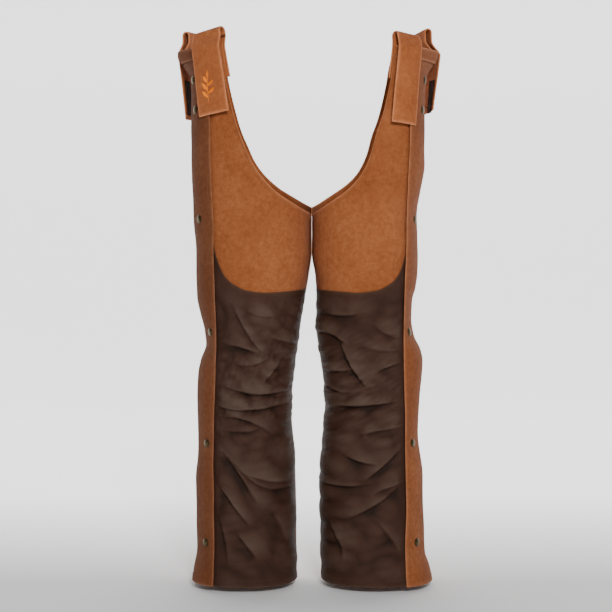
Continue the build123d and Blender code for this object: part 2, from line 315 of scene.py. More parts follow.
def flap_surface(side, bearing, height, offset):
    """A point of the side flap's cloth: it bridges the folds below it, and is drawn in at each press stud."""
    r = section(side, bearing, height)
    around = np.radians(bearing) * ROUND
    slack = 1.1 * ripple(around / 22, height / 34, 51 + SIDES[side])
    slack = slack + 0.4 * ripple(around / 9, height / 13, 57)
    hold = np.zeros(np.broadcast(bearing, height).shape)
    for snap_height, snap_bearing in SNAPS:
        near = np.hypot(np.radians(bearing - snap_bearing) * ROUND, height - snap_height)
        hold = np.maximum(hold, 1 - rise(near, 8, 42))
    root = rise(bearing, 84, 93)
    side_canvas = canvas_folds(side, bearing, height, r)
    r = r + (slack + 0.6) * (1 - hold) * (1 - root) + side_canvas * root + offset
    return place(bearing, height, r)


def place(bearing, height, r):
    """The point at that bearing, height and distance from the leg's axis."""
    phi = np.radians(bearing)
    x, y, z = np.broadcast_arrays(LEG_X + r * np.sin(phi), LEG_Y - r * np.cos(phi), height)
    return np.stack([x, y, z], axis=-1).astype(float)


# ---------------------------------------------------------------- meshes

def unit(v):
    return v / np.maximum(np.linalg.norm(v, axis=-1, keepdims=True), 1e-9)


def point_at(distance, along, points):
    """The point that far along a path, from its points and how far along each of them is."""
    return np.array([np.interp(distance, along, points[:, k]) for k in range(3)])


def grid_normals(points):
    """Outward normals of a grid whose rows go up and whose columns go round."""
    up = np.gradient(points, axis=0)
    round_ = np.gradient(points, axis=1)
    return unit(np.cross(round_, up))


def add(name, data):
    """An object with that data, in the scene."""
    added = bpy.data.objects.new(name, data)
    bpy.context.scene.collection.objects.link(added)
    return added


def new_object(name, side, vertices, faces, attributes=(), uv=None):
    """A mesh object from millimetre points on the +X side, mirrored for the right leg."""
    vertices = np.array(vertices, float) * MM
    if SIDES[side] < 0:
        vertices[:, 0] *= -1
        faces = [tuple(reversed(face)) for face in faces]
    mesh = bpy.data.meshes.new(name)
    mesh.from_pydata(vertices.tolist(), [], [tuple(int(i) for i in face) for face in faces])
    for key, values in attributes:
        layer = mesh.attributes.new(key, "FLOAT", "POINT")
        layer.data.foreach_set("value", np.asarray(values, np.float32))
    if uv is not None:
        layer = mesh.uv_layers.new(name="cloth")
        loops = np.zeros(len(mesh.loops), np.int32)
        mesh.loops.foreach_get("vertex_index", loops)
        layer.data.foreach_set("uv", (np.asarray(uv)[loops] * MM).astype(np.float32).ravel())
    mesh.polygons.foreach_set("use_smooth", [True] * len(mesh.polygons))
    mesh.validate()
    mesh.update()
    return add(name, mesh)


def cloth_lengths(points):
    """Distance along the cloth at every grid point: across its row, and up its column."""
    across = np.zeros(points.shape[:2])
    across[:, 1:] = np.cumsum(np.linalg.norm(np.diff(points, axis=1), axis=-1), axis=1)
    up = np.zeros(points.shape[:2])
    up[1:] = np.cumsum(np.linalg.norm(np.diff(points, axis=0), axis=-1), axis=0)
    return across, up


def edge_distance(points, *edges):
    """Distance of each grid point from the nearest of the named edges: low, high, first, last."""
    across, up = cloth_lengths(points)
    options = {"low": up, "high": up[-1:] - up, "first": across, "last": across[:, -1:] - across}
    return np.minimum.reduce([options[e] for e in edges])


def shell(name, side, outer, thickness, relief=None, worn=("low", "high", "first", "last")):
    """A closed sheet of cloth with rounded edges. Its outside is a grid of points: rows up, columns round."""
    rows, cols = outer.shape[:2]
    normal = grid_normals(outer)
    thick = np.broadcast_to(np.asarray(thickness, float), (rows, cols))[..., None]
    inner = outer - normal * thick
    across, up = cloth_lengths(outer)
    wear = np.exp(-edge_distance(outer, *worn) / 2.2) if worn else np.zeros((rows, cols))
    fold = np.zeros((rows, cols)) if relief is None else relief
    # The rim: one vertex round the sheet's border, half-way through the cloth and a little beyond its edge.
    ring = ([(0, c) for c in range(cols)] + [(r, cols - 1) for r in range(1, rows)]
            + [(rows - 1, c) for c in range(cols - 2, -1, -1)] + [(r, 0) for r in range(rows - 2, 0, -1)])
    rr, cc = (np.array(v) for v in zip(*ring))
    out_round = np.where(cc == cols - 1, 1, 0) - np.where(cc == 0, 1, 0)
    out_up = np.where(rr == rows - 1, 1, 0) - np.where(rr == 0, 1, 0)
    up_way, round_way = (unit(np.gradient(outer, axis=k))[rr, cc] for k in (0, 1))
    beyond = round_way * out_round[:, None] + up_way * out_up[:, None]
    rim = (outer[rr, cc] + inner[rr, cc]) / 2 + unit(beyond) * thick[rr, cc] * 0.45
    count = rows * cols
    index = np.arange(count).reshape(rows, cols)
    a, b = index[:-1, :-1].ravel(), index[:-1, 1:].ravel()
    c, d = index[1:, 1:].ravel(), index[1:, :-1].ravel()
    faces = list(zip(a, b, c, d)) + list(zip(d + count, c + count, b + count, a + count))
    outline = index[rr, cc]
    rim_index = 2 * count + np.arange(len(ring))
    nxt = np.roll(np.arange(len(ring)), -1)
    faces += list(zip(outline[nxt], outline, rim_index, rim_index[nxt]))
    faces += list(zip(outline + count, outline[nxt] + count, rim_index[nxt], rim_index))
    vertices = np.concatenate([outer.reshape(-1, 3), inner.reshape(-1, 3), rim])
    uv = np.stack([across, up], axis=-1).reshape(-1, 2)
    uv = np.concatenate([uv, uv, uv[outline]])
    both = lambda v: np.concatenate([v.ravel(), v.ravel(), v[rr, cc]])
    piece = new_object(name, side, vertices, faces, [("wear", both(wear)), ("fold", both(fold))], uv)
    piece["flat_mm"] = [float(across[:, -1].max()), float(up[-1].max())]
    cells = np.cross(np.diff(outer, axis=1)[:-1], np.diff(outer, axis=0)[:, :-1])
    piece["area_mm2"] = float(np.linalg.norm(cells, axis=-1).sum())
    return piece


STITCH_LONG, STITCH_PITCH, STITCH_WIDE, STITCH_HIGH = 2.7, 3.8, 0.75, 0.5
# One stitch, as (along its length, width, height), each a share.
STITCH = [(-1.0, 0.15, -0.35), (-0.7, 0.85, 0.55), (0.0, 1.0, 1.0), (0.7, 0.85, 0.55), (1.0, 0.15, -0.35)]


def stitch_rows(name, side, rows):
    """Runs of single stitches. Each row is (points along it, outward normals there)."""
    vertices, faces = [], []
    for path, normals in rows:
        run = np.concatenate([[0], np.cumsum(np.linalg.norm(np.diff(path, axis=0), axis=1))])
        for at in np.arange(STITCH_PITCH, run[-1] - STITCH_PITCH / 2, STITCH_PITCH):
            centre = point_at(at, run, path)
            ahead = point_at(at + 1, run, path) - centre
            out = unit(point_at(at, run, normals))
            ahead = unit(ahead - out * (ahead @ out))
            beside = np.cross(out, ahead)
            start = len(vertices)
            for along, wide, high in STITCH:
                middle = centre + ahead * along * STITCH_LONG / 2
                top = middle + out * (STITCH_HIGH * high)
                side_step = beside * STITCH_WIDE / 2 * wide
                low = middle - out * 0.3
                vertices += [low - side_step, top - side_step * 0.5, top + side_step * 0.5, low + side_step]
            end = start + (len(STITCH) - 1) * 4
            for a in range(start, end, 4):
                faces += [(a + k, a + k + 4, a + k + 5, a + k + 1) for k in range(3)]
            faces.append((start, start + 1, start + 2, start + 3))
            faces.append((end + 3, end + 2, end + 1, end))
            faces += [(a + 3, a + 7, a + 4, a) for a in range(start, end, 4)]
    return new_object(name, side, vertices, faces)


def along_grid(points, row=None, col=None):
    """A stitch row that follows one row or column of a grid, with the grid's normals."""
    normals = grid_normals(points)
    pick = (slice(None), col) if row is None else (row, slice(None))
    return points[pick], normals[pick]


# ---------------------------------------------------------------- materials

class Nodes:
    """A material's node tree, with short calls for the nodes that these materials use."""

    def __init__(self, name):
        self.material = bpy.data.materials.new(name)
        self.material.use_nodes = True
        self.tree = self.material.node_tree
        self.shader = self.tree.nodes["Principled BSDF"]

    def link(self, value, socket):
        if isinstance(value, bpy.types.NodeSocket):
            self.tree.links.new(value, socket)
        else:
            socket.default_value = value

    def uv(self):
        node = self.tree.nodes.new("ShaderNodeUVMap")
        node.uv_map = "cloth"
        return node.outputs["UV"]

    def place(self):
        return self.tree.nodes.new("ShaderNodeTexCoord").outputs["Object"]

    def attribute(self, name):
        node = self.tree.nodes.new("ShaderNodeAttribute")
        node.attribute_name = name
        return node.outputs["Fac"]

    def math(self, operation, a, b=0.0, clamp=False):
        node = self.tree.nodes.new("ShaderNodeMath")
        node.operation, node.use_clamp = operation, clamp
        self.link(a, node.inputs[0])
        self.link(b, node.inputs[1])
        return node.outputs[0]

    def times(self, a, b, clamp=False):
        return self.math("MULTIPLY", a, b, clamp)

    def plus(self, a, b):
        return self.math("ADD", a, b)

    def stretch(self, vector, scale):
        node = self.tree.nodes.new("ShaderNodeMapping")
        self.link(vector, node.inputs["Vector"])
        node.inputs["Scale"].default_value = scale
        return node.outputs["Vector"]

    def noise(self, vector, scale, detail=3.0, roughness=0.55):
        node = self.tree.nodes.new("ShaderNodeTexNoise")
        self.link(vector, node.inputs["Vector"])
        node.inputs["Scale"].default_value = scale
        node.inputs["Detail"].default_value = detail
        node.inputs["Roughness"].default_value = roughness
        return node.outputs["Fac"]

    def ramp(self, value, *stops):
        node = self.tree.nodes.new("ShaderNodeValToRGB")
        self.link(value, node.inputs["Fac"])
        elements = node.color_ramp.elements
        while len(elements) < len(stops):
            elements.new(0.5)
        for element, (position, colour) in zip(elements, stops):
            element.position = position
            element.color = (*colour, 1.0)
        return node.outputs["Color"]

    def mix(self, factor, a, b, blend="MIX"):
        node = self.tree.nodes.new("ShaderNodeMix")
        node.data_type, node.blend_type = "RGBA", blend
        self.link(factor, node.inputs[0])
        self.link((*a, 1.0) if isinstance(a, tuple) else a, node.inputs[6])
        self.link((*b, 1.0) if isinstance(b, tuple) else b, node.inputs[7])
        return node.outputs[2]

    def bump(self, height, distance, strength=1.0, normal=None):
        node = self.tree.nodes.new("ShaderNodeBump")
        node.inputs["Strength"].default_value = strength
        node.inputs["Distance"].default_value = distance
        self.link(height, node.inputs["Height"])
        if normal is not None:
            self.link(normal, node.inputs["Normal"])
        return node.outputs["Normal"]

    def weave(self, pitch):
        """Height of a plain weave: threads pitch metres apart, each over one and under the next."""
        split = self.tree.nodes.new("ShaderNodeSeparateXYZ")
        self.link(self.uv(), split.inputs[0])
        turn = math.pi / pitch
        across = self.math("SINE", self.times(split.outputs[0], turn))
        up = self.math("SINE", self.times(split.outputs[1], turn))
        over = self.math("GREATER_THAN", self.times(across, up), 0.0)
        warp, weft = self.math("ABSOLUTE", across), self.math("ABSOLUTE", up)
        return self.plus(self.times(warp, over),
                         self.times(weft, self.math("SUBTRACT", 1.0, over)))

    def finish(self, colour, roughness, normal, **fixed):
        self.link(colour, self.shader.inputs["Base Color"])
        self.link(roughness, self.shader.inputs["Roughness"])
        if normal is not None:
            self.link(normal, self.shader.inputs["Normal"])
        for socket, value in fixed.items():
            self.shader.inputs[socket.replace("_", " ")].default_value = value
        return self.material


# Metres between threads.
DUCK_PITCH, NYLON_PITCH = 0.0011, 0.0008
DUCK_TONES = [(0.215, 0.057, 0.0150), (0.318, 0.094, 0.0280), (0.430, 0.148, 0.053)]
NYLON_TONES = [(0.034, 0.0142, 0.0082), (0.052, 0.0226, 0.0140), (0.072, 0.0330, 0.0212)]


def canvas_material(name, strength):
    """Cotton duck: dyed a mottled brown, with a plain weave, a few slubs, paler worn edges and painted shade in
    its creases.
    """
    # strength scales every tone of this copy; between the legs and on the side flaps it is painted light and
    # shade.
    dark, mid, light = (tuple(v * strength for v in tone) for tone in DUCK_TONES)
    n = Nodes(name)
    place_ = n.place()
    mottle = n.noise(place_, 9.0, 4.0, 0.6)
    fibre = n.noise(n.stretch(n.uv(), (900.0, 260.0, 1.0)), 1.0, 2.0, 0.6)
    slub = n.noise(n.stretch(n.uv(), (60.0, 900.0, 1.0)), 1.0, 1.0, 0.5)
    weave = n.weave(DUCK_PITCH)
    brushed = n.noise(place_, 130.0, 3.0, 0.7)
    tone = n.plus(n.times(mottle, 0.42), n.times(fibre, 0.22))
    tone = n.plus(tone, n.times(brushed, 0.36))
    colour = n.ramp(tone, (0.34, dark), (0.5, mid), (0.66, light))
    threads = n.ramp(n.plus(n.times(weave, 0.75), n.times(slub, 0.35)),
                     (0.1, (0.62, 0.60, 0.58)), (0.85, (1.12, 1.12, 1.12)))
    colour = n.mix(1.0, colour, threads, "MULTIPLY")
    scuffs = n.ramp(n.noise(place_, 55.0, 5.0, 0.65), (0.35, (0.0, 0.0, 0.0)), (0.75, (1.0, 1.0, 1.0)))
    edge = n.times(n.attribute("wear"), n.plus(n.times(scuffs, 0.6), 0.35), clamp=True)
    pale = tuple(min(1.0, v * 1.5 + 0.03) for v in light)
    colour = n.mix(edge, colour, pale)
    # Painted shade: darker where the fold relief sinks below the cloth.
    crease_shade = n.times(n.attribute("fold"), -0.18, clamp=True)
    colour = n.mix(crease_shade, colour, tuple(v * 0.45 for v in dark))
    height = n.plus(n.times(weave, 0.6), n.times(slub, 0.5))
    normal = n.bump(height, 0.00028, 0.8, n.bump(n.noise(place_, 120.0, 4.0, 0.6), 0.0012, 0.35))
    return n.finish(colour, n.plus(n.times(fibre, 0.15), 0.8), normal,
                    Sheen_Weight=0.04, Sheen_Roughness=0.6, Specular_IOR_Level=0.12)


def nylon_material():
    """Coated nylon: fine tight weave, near-black brown, dull sheen, a painted highlight on its raised folds,
    painted shade in its creases and paler worn edges.
    """
    n = Nodes("coated_nylon")
    place_ = n.place()
    weave = n.weave(NYLON_PITCH)
    mottle = n.noise(place_, 14.0, 4.0, 0.6)
    grain = n.noise(n.stretch(n.uv(), (500.0, 500.0, 1.0)), 1.0, 3.0, 0.65)
    tone = n.plus(n.times(mottle, 0.6), n.times(grain, 0.4))
    colour = n.ramp(tone, *zip((0.3, 0.55, 0.8), NYLON_TONES))
    # Painted highlight: paler where the fold relief rises, flecked by the grain.
    ridge_highlight = n.times(n.attribute("fold"), 0.14, clamp=True)
    colour = n.mix(n.times(ridge_highlight, n.plus(grain, 0.2), clamp=True), colour, (0.105, 0.068, 0.050))
    # Painted shade: near-black where the fold relief sinks, in the creases below each fold's brow.
    crease_shade = n.times(n.attribute("fold"), -0.30, clamp=True)
    colour = n.mix(n.times(crease_shade, 0.75), colour, (0.010, 0.0045, 0.0028))
    colour = n.mix(n.times(n.attribute("wear"), 0.4, clamp=True), colour, (0.13, 0.07, 0.04))
    crinkle = n.noise(place_, 75.0, 5.0, 0.62)
    normal = n.bump(weave, 0.00018, 0.7, n.bump(crinkle, 0.0022, 0.55))
    roughness = n.plus(n.times(crinkle, 0.22), 0.46)
    return n.finish(colour, roughness, normal, Sheen_Weight=0.0, Specular_IOR_Level=0.13)


def brass_material(name, colour, worn, roughness):
    """Aged brass: dark in its hollows, rubbed brighter in patches, finely scratched."""
    n = Nodes(name)
    place_ = n.place()
    patches = n.noise(place_, 260.0, 4.0, 0.6)
    scratches = n.noise(n.stretch(place_, (300.0, 300.0, 2600.0)), 1.0, 3.0, 0.6)
    rub = n.times(patches, n.plus(n.attribute("wear"), 0.35), clamp=True)
    tint = n.mix(rub, colour, worn)
    return n.finish(tint, n.plus(n.times(scratches, 0.25), roughness),
                    n.bump(scratches, 0.00008, 0.5), Metallic=1.0)


def thread_material(name, colour, light):
    """Twisted thread: fine slanting strands, with a painted highlight on their high points."""
    n = Nodes(name)
    strands = n.noise(n.stretch(n.place(), (1500.0, 1500.0, 700.0)), 1.0, 2.0, 0.5)
    # Painted highlight: the noise that raises the strands in the bump also pales their colour.
    tint = n.mix(strands, colour, light)
    return n.finish(tint, 0.7, n.bump(strands, 0.0002, 0.6), Specular_IOR_Level=0.2)


def tape_material(name, dark, light, scale):
    """Hook or loop tape: a dense pile of tiny hooks or loops."""
    n = Nodes(name)
    pile = n.tree.nodes.new("ShaderNodeTexVoronoi")
    n.link(n.place(), pile.inputs["Vector"])
    pile.inputs["Scale"].default_value = scale
    tint = n.mix(pile.outputs["Distance"], dark, light)
    return n.finish(tint, 0.85, n.bump(pile.outputs["Distance"], 0.0008, 0.9), Specular_IOR_Level=0.1)


def canvas_lit_and_shaded(name, left, right):
    """The same canvas for each leg, each copy scaled lighter or darker as painted light and shade."""
    return {side: canvas_material(f"{name}_{side}", painted_light_scale) for side, painted_light_scale in (("left", left), ("right", right))}


# The side flaps' copies, also used by the top band, are darker as painted shade on cloth turned away from the
# light, and each pair differs between the legs as painted light. The straps' copies are lighter.
CANVAS_DUCK = canvas_lit_and_shaded("canvas_duck", 1.0, 0.97)
STRAP_CANVAS = canvas_lit_and_shaded("strap_canvas", 1.18, 1.22)
SHADED_FLAP_CANVAS = canvas_lit_and_shaded("shaded_flap_canvas", 0.76, 0.47)
NYLON = nylon_material()
SNAP_BRASS = brass_material("antique_brass", (0.030, 0.020, 0.009), (0.17, 0.12, 0.055), 0.30)
PLAIN_BRASS = brass_material("plain_brass", (0.34, 0.24, 0.10), (0.62, 0.48, 0.24), 0.28)
THREAD = thread_material("brown_thread", (0.150, 0.052, 0.020), (0.260, 0.100, 0.042))
ORANGE_THREAD = thread_material("orange_thread", (1.0, 0.20, 0.006), (1.0, 0.36, 0.02))
DARK_THREAD = thread_material("dark_thread", (0.060, 0.026, 0.014), (0.120, 0.056, 0.030))
HOOK_TAPE = tape_material("hook_tape", (0.022, 0.009, 0.004), (0.070, 0.030, 0.014), 900.0)
LOOP_TAPE = tape_material("loop_tape", (0.040, 0.017, 0.008), (0.110, 0.048, 0.022), 600.0)


def dress(piece, material):
    piece.data.materials.clear()
    piece.data.materials.append(material)
    return piece


# ---------------------------------------------------------------- the leg's cloth

# Top edges, as (bearing, height). The front is cut away in a curve from the crotch to the strap.
NECKLINE = {
    "left": smooth_curve([(-90, 668), (-72, 672), (-38, 699), (-18, 731), (-6, 772), (-0.6, 807), (6.6, 843),
                          (12.6, 886), (17.5, 931), (20, PANEL_TOP), (90, PANEL_TOP)]),
    "right": smooth_curve([(-90, 668), (-72, 672), (-38, 697), (-18, 727), (-4, 762), (3, 790), (10.2, 822),
                           (18.8, 879), (25, 928), (28, PANEL_TOP), (90, PANEL_TOP)]),
}
BACK_RISE = smooth_curve([(-90, 12), (-40, 16), (0, 10), (25, 0), (90, 0)])
FACING_TOP = smooth_curve([(-90, 533), (-42, 528), (-20, 526), (0, 530), (14, 541), (23, 555), (32, 586),
                           (38, 620), (42, 667), (48, 720)])
FACING_TALL = 600
FRONT_EDGE, BACK_EDGE, FLAP_ROOT, FACING_EDGE, INSEAM = 79.0, 80.0, 95.0, 45.0, -90.0
# Widths of turned edges: the canvas's top, the nylon's top, every hem, and the front and top of the flap.
TOP_HEM, FACING_HEM, LOW_HEM, FLAP_HEM, FLAP_TOP_HEM = 11, 8, 14, 9, 7


def spread(first, last, step, finer=0.0):
    """Evenly spaced values, plus a few close to each end so that the hems there are crisp."""
    count = max(2, int(round(abs(last - first) / step)) + 1)
    values = np.linspace(first, last, count)
    if finer:
        sign = math.copysign(1, last - first)
        extra = np.array([0.25, 0.55, 1.0, 1.6, 2.4, 3.4]) * finer
        values = np.concatenate([values, first + sign * extra, last - sign * extra])
        values = np.unique(np.round(values, 5))[:: int(sign)]
    return values


def nearest(values, target):
    """The index of the value closest to a target."""
    return int(np.argmin(np.abs(values - target)))


def panel_grid(bearings, top, tall, step, finer):
    """Bearings and heights of a panel. Its rows are shares of each column's top, closer at both hems."""
    heights = spread(0.0, 1.0, step / tall, finer / tall)[:, None] * top[None, :]
    return np.broadcast_to(bearings[None, :], heights.shape), heights


def hem(distance, width, rise_by):
    """Extra cloth in a turned hem, with a stitched groove along its inner edge."""
    body = rise_by * (1 - rise(distance, width - 1.5, width + 1.0))
    groove = 0.55 * bump(distance, width - 2.2, 1.0)
    return body - groove


def declare(piece, body=None, node=None):
    """The CAD node that a piece stands in for, which it hides, and the body that it moves with."""
    if node:
        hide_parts(node)
    if body:
        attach(piece, body)
    return piece


def cut_cloth(side, name, outer, thickness, material, worn, node=None, body=None,
              relief=None):
    """A sheet of cloth, or a pad of tape, with its material and what it is declared to be."""
    piece = dress(shell(f"{side}_{name}", side, outer, thickness, relief, worn), material)
    return declare(piece, body and f"{side}_{body}", node and f"{side}_{node}")


def sew(side, name, rows, body=None, thread=THREAD):
    """Rows of stitching, as one piece."""
    piece = dress(stitch_rows(f"{side}_{name}_stitches", side, rows), thread)
    return declare(piece, body and f"{side}_{body}")


def along_distance(outer, distance, inset, bearings, low, high):
    """The line on a grid that stays that far from an edge, between two bearings."""
    normals = grid_normals(outer)
    path, outs = [], []
    for column in np.flatnonzero((bearings > low) & (bearings < high)):
        d = distance[:, column]
        order = np.argsort(d)
        path.append(point_at(inset, d[order], outer[order, column]))
        outs.append(point_at(inset, d[order], normals[order, column]))
    return np.array(path), unit(np.array(outs))


def front_canvas(side):
    bearings = spread(INSEAM, FRONT_EDGE, 1.7, 1.1)
    bearing, heights = panel_grid(bearings, NECKLINE[side](bearings), PANEL_TOP, 3.0, 4.0)
    below_facing = rise(FACING_TOP(bearings)[None, :] - heights, 4, 22)
    under_nylon = below_facing * (1 - rise(bearing, FACING_EDGE - 4, FACING_EDGE))
    base = leg_surface(side, bearing, heights, CANVAS - SUNK * under_nylon)
    near_top, near_hem = edge_distance(base, "high"), edge_distance(base, "low")
    extra = hem(near_top, TOP_HEM, 1.0) + hem(near_hem, LOW_HEM, 0.7) * (1 - under_nylon)
    outer = leg_surface(side, bearing, heights, CANVAS - SUNK * under_nylon + extra)
    thickness = 1.3 + 0.6 * np.clip(extra, 0, 1)
    canvas = CANVAS_DUCK[side]
    piece = cut_cloth(side, "front_canvas", outer, thickness, canvas, ("high",), "front_panel", "leg")
    rows = [along_distance(outer, near_top, inset, bearings, -86, 40) for inset in (9.0, 5.5)]
    sew(side, "neckline", rows, "leg")


def back_canvas(side):
    bearings = spread(BACK_EDGE, 270.0, 2.2, 1.1)
    ahead = np.where(bearings > 90, 180 - bearings, bearings)
    bearing, heights = panel_grid(bearings, NECKLINE[side](ahead) + BACK_RISE(ahead), PANEL_TOP, 4.0, 4.0)
    base = leg_surface(side, bearing, heights, CANVAS)
    near_top, near_hem = edge_distance(base, "high"), edge_distance(base, "low")
    lap = 1.2 * (1 - rise(edge_distance(base, "last"), 9, 11))
    extra = hem(near_top, TOP_HEM, 1.0) + hem(near_hem, LOW_HEM, 0.7) + lap
    outer = leg_surface(side, bearing, heights, CANVAS + extra)
    thickness = 1.3 + 0.4 * np.clip(extra, 0, 1)
    canvas = CANVAS_DUCK[side]
    piece = cut_cloth(side, "back_canvas", outer, thickness, canvas, ("high", "low"), "back_panel", "leg")
    near_seam = edge_distance(outer, "last")[0]
    insets = (near_top, 9.0), (near_hem, 11.8)
    rows = [along_distance(outer, near, inset, bearings, 95, 266) for near, inset in insets]
    rows += [along_grid(outer, col=nearest(near_seam, inset)) for inset in (2.2, 8.4)]
    sew(side, "back", rows, "leg")


def nylon_facing(side):
    bearings = spread(INSEAM + 3.0, FACING_EDGE, 1.3, 1.1)
    bearing, heights = panel_grid(bearings, FACING_TOP(bearings), FACING_TALL, 2.0, 3.5)
    base = leg_surface(side, bearing, heights, NYLON_OUT)
    near_top, near_hem = edge_distance(base, "high"), edge_distance(base, "low")
    extra = hem(near_top, FACING_HEM, 0.7) + hem(near_hem, LOW_HEM, 0.8)
    outer = leg_surface(side, bearing, heights, NYLON_OUT + extra)
    relief = nylon_folds(side, bearing, heights, section(side, bearing, heights))
    piece = cut_cloth(side, "nylon_front", outer, 1.0, NYLON, ("high", "low"), "front_facing", "leg",
                      relief)
    insets = (near_top, 5.6), (near_hem, 11.8)
    rows = [along_distance(outer, near, inset, bearings, -86, 44) for near, inset in insets]
    sew(side, "facing", rows, "leg", DARK_THREAD)


# ---------------------------------------------------------------- the side flap and its press studs

FLAP_OFFSET = smooth_curve([(0, FLAP_OUT), (66, FLAP_OUT), (82, FLAP_SIDE_OUT), (92, FLAP_ROOT_OUT),
                            (120, FLAP_ROOT_OUT)])


def bearing_at(side, x, height):
    """The bearing on the outer half where the flap's outside is that far from the middle of the pair."""
    low, high = np.zeros(np.shape(height)), np.full(np.shape(height), 88.0)
    for _ in range(30):
        mid = (low + high) / 2
        inside = LEG_X + (section(side, mid, height) + FLAP_OUT) * np.sin(np.radians(mid)) < x
        low, high = np.where(inside, mid, low), np.where(inside, high, mid)
    return (low + high) / 2


def side_flap(side):
    heights = spread(0.0, FLAP_TOP, 4.0, 4.0)
    waver = 0.8 * ripple(heights / 26, heights * 0, 71 + SIDES[side])
    edge = bearing_at(side, flap_front(side, heights) + waver, heights)
    across = spread(0.0, 1.0, 0.034, 0.011)
    bearing = edge[:, None] + (FLAP_ROOT - edge[:, None]) * across[None, :]
    height = np.broadcast_to(heights[:, None], bearing.shape)
    base = flap_surface(side, bearing, height, FLAP_OFFSET(bearing))
    near_edge, near_low = edge_distance(base, "first"), edge_distance(base, "low")
    extra = hem(near_edge, FLAP_HEM, 0.9) + hem(near_low, LOW_HEM - 1, 0.8)
    extra = extra + hem(edge_distance(base, "high"), FLAP_TOP_HEM, 0.5)
    extra = extra + bump(edge_distance(base, "last"), 5, 3.0)
    outer = flap_surface(side, bearing, height, FLAP_OFFSET(bearing) + extra)
    piece = cut_cloth(side, "side_flap_cloth", outer, 1.5, SHADED_FLAP_CANVAS[side], ("first", "low"), "side_flap")
    # The stitches follow whole rows and columns of the grid, picked where this row and column cross them.
    row, col = 100, 10
    rows = [along_grid(outer, col=nearest(near_edge[row], 6.8))]
    rows.append(along_grid(outer, row=nearest(near_low[:, col], 10.6)))
    root = edge_distance(outer, "last")[row]
    rows += [along_grid(outer, col=nearest(root, inset)) for inset in (3.0, 9.5)]
    stitches = sew(side, "side_flap", rows)
    for part in (piece, stitches):
        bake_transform(part)


TURNED_STEPS = 28


def turned(profile, centre, out):
    """Vertices and faces of a solid turned about an axis. Its profile is (radius, height) from end to end."""
    out = unit(np.array(out, float))
    first = unit(np.cross(out, [0.0, 0.0, 1.0]))
    second = np.cross(out, first)
    steps = TURNED_STEPS
    vertices, faces = [], []
    for radius, height in profile:
        for k in range(steps):
            a = 2 * math.pi * k / steps
            vertices.append(centre + out * height + (first * math.cos(a) + second * math.sin(a)) * radius)
    for ring in range(len(profile) - 1):
        for k in range(steps):
            j = (k + 1) % steps
            faces.append((ring * steps + k, (ring + 1) * steps + k, (ring + 1) * steps + j, ring * steps + j))
    faces.append(tuple(range(steps)))
    faces.append(tuple(reversed(range((len(profile) - 1) * steps, len(profile) * steps))))
    return vertices, faces


CAP = [(0.4, -1.4), (6.6, -1.4), (7.3, -0.5), (7.6, 0.2), (7.5, 0.7), (7.0, 1.05), (6.6, 1.0), (6.4, 1.12),
       (5.4, 1.75), (3.8, 2.25), (2.0, 2.5), (0.4, 2.55)]
SOCKET = [(2.6, 0.0), (2.9, -0.3), (5.6, -0.4), (6.2, 0.1), (6.2, 1.5), (5.6, 1.9), (3.4, 2.4), (2.6, 2.3),
          (2.5, 0.9)]
STUD = [(0.4, -0.3), (5.0, -0.3), (5.5, 0.0), (5.3, 0.4), (2.4, 0.7), (1.7, 1.1), (2.1, 1.7), (2.0, 2.1),
        (1.3, 2.4), (0.3, 2.45)]
RIVET = [(0.3, -1.0), (3.4, -0.95), (4.5, -0.5), (4.6, -0.1), (4.4, 0.1), (0.3, 0.1)]
# The turned metal pieces of a press stud: name, profile, the cloth it sits on, how far out, CAD node, body,
# material, slot.
SOCKET_OUT = FLAP_OUT - 4.2
STUD_PARTS = [
    ("stud_caps", CAP, flap_surface, FLAP_OUT, "snap_caps", "flap", SNAP_BRASS, "antique_brass"),
    ("stud_sockets", SOCKET, flap_surface, SOCKET_OUT, "snap_sockets", "flap", PLAIN_BRASS, "brass_inner"),
    ("stud_balls", STUD, leg_surface, CANVAS + 0.2, "snap_studs", "leg", PLAIN_BRASS, "brass_inner"),
    ("stud_backs", RIVET, leg_surface, 0.0, "stud_rivets", "leg", PLAIN_BRASS, "brass_inner"),
]


def press_studs(side):
    """The metal pieces at each press stud, seated on the cloth and square to it."""
    for name, profile, surface, offset, node, body, material, slot in STUD_PARTS:
        vertices, faces, wear = [], [], []
        high = max(h for _, h in profile)
        for height, bearing in SNAPS:
            b = np.array([bearing - 1.5, bearing, bearing + 1.5])[None, :]
            z = np.array([height - 3, height, height + 3])[:, None]
            patch = surface(side, np.broadcast_to(b, (3, 3)), np.broadcast_to(z, (3, 3)), offset)
            new, sides = turned(profile, patch[1, 1], grid_normals(patch)[1, 1])
            faces += [tuple(i + len(vertices) for i in face) for face in sides]
            vertices += new
            wear += [max(0.0, h / high) for _, h in profile for _ in range(TURNED_STEPS)]
        piece = dress(new_object(f"{side}_{name}", side, vertices, faces, [("wear", wear)]), material)
        declare(piece, f"{side}_{body}", f"{side}_{node}")


# ---------------------------------------------------------------- belt straps

# Thickness, and the length of cloth on top of the fold that turns over when a strap lifts.
STRAP_THICK, TURN_OVER = 2.6, 9.0
SEWN_TO = in_mm(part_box("left_front_sewn_strap")[0])[2]
# Each strap: width, distance of its fold from the leg's axis, fold radius, place and height of its top, lean,
# and length of its outer half.
STRAPS = {
    ("right", "front"): dict(wide=61, fold=95.5, radius=9.7, across=19, top=995, lean=9, hang=153),
    ("left", "front"): dict(wide=51, fold=94.5, radius=9.7, across=1, top=988, lean=5.5, hang=162),
    ("right", "rear"): dict(wide=56, fold=112.5, radius=7.5, across=-2, top=1006, lean=-3, hang=160),
    ("left", "rear"): dict(wide=56, fold=95, radius=7.5, across=0, top=1008, lean=4, hang=150),
}
# How far a strap lies from the inside of the canvas: in front, behind, and inside the leg.
FRONT_LIE, REAR_LIE, INSIDE_LIE = 10.6, 7.4, -1.6
